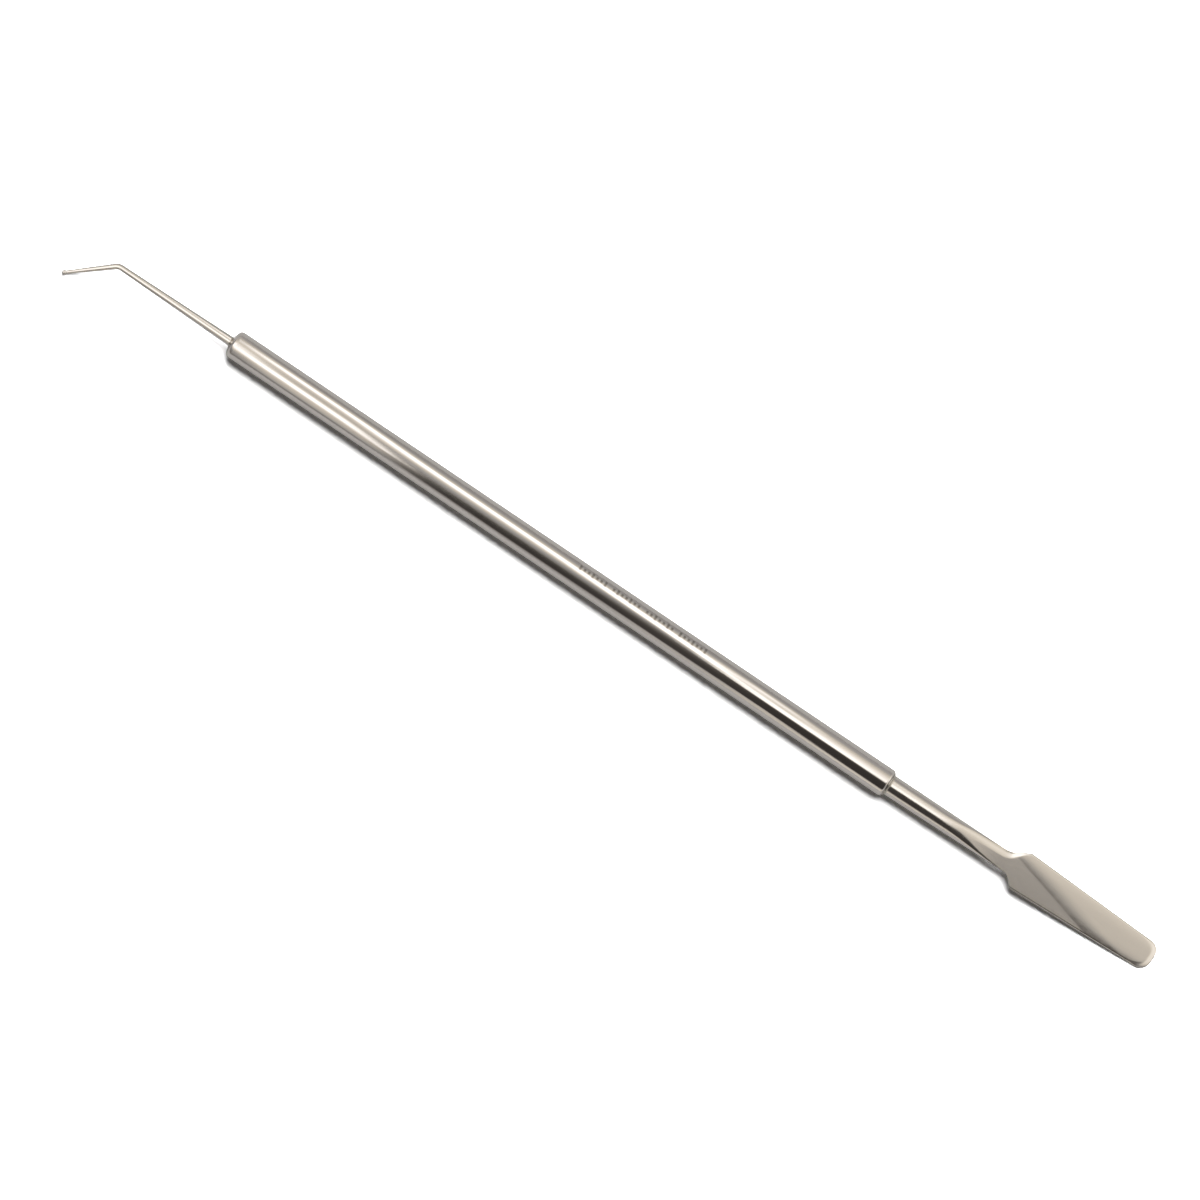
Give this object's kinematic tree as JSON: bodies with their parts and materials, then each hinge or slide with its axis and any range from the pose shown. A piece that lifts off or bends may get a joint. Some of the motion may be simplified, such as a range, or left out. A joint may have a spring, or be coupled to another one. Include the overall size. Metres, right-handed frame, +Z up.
{
  "type": "double-ended dental instrument",
  "caption": "Slim steel dental hand instrument: a round bar handle with a bent wire probe ending in a tiny ball at one end and a flat rounded mixing spatula at the other.",
  "frame": {"origin": "on the table, under the middle of the whole instrument as it lies", "axes": "+X along the handle from the ball end to the blade, +Z up; the ball points to -Y"},
  "size_m": [0.1704, 0.008, 0.004],
  "materials": {
    "handle_steel": "stainless bar, polished lengthwise to a bright finish with fine hairlines",
    "applicator_steel": "stainless wire, ground to a taper and polished bright",
    "spatula_steel": "forged stainless, buffed to a soft shine",
    "silver_solder": "flowed silver solder, wiped smooth"
  },
  "bodies": {
    "root": {"handle": "handle_steel", "ball_applicator": "applicator_steel", "applicator_solder": "silver_solder", "spatula": "spatula_steel", "spatula_solder": "silver_solder"}
  },
  "joints": []
}
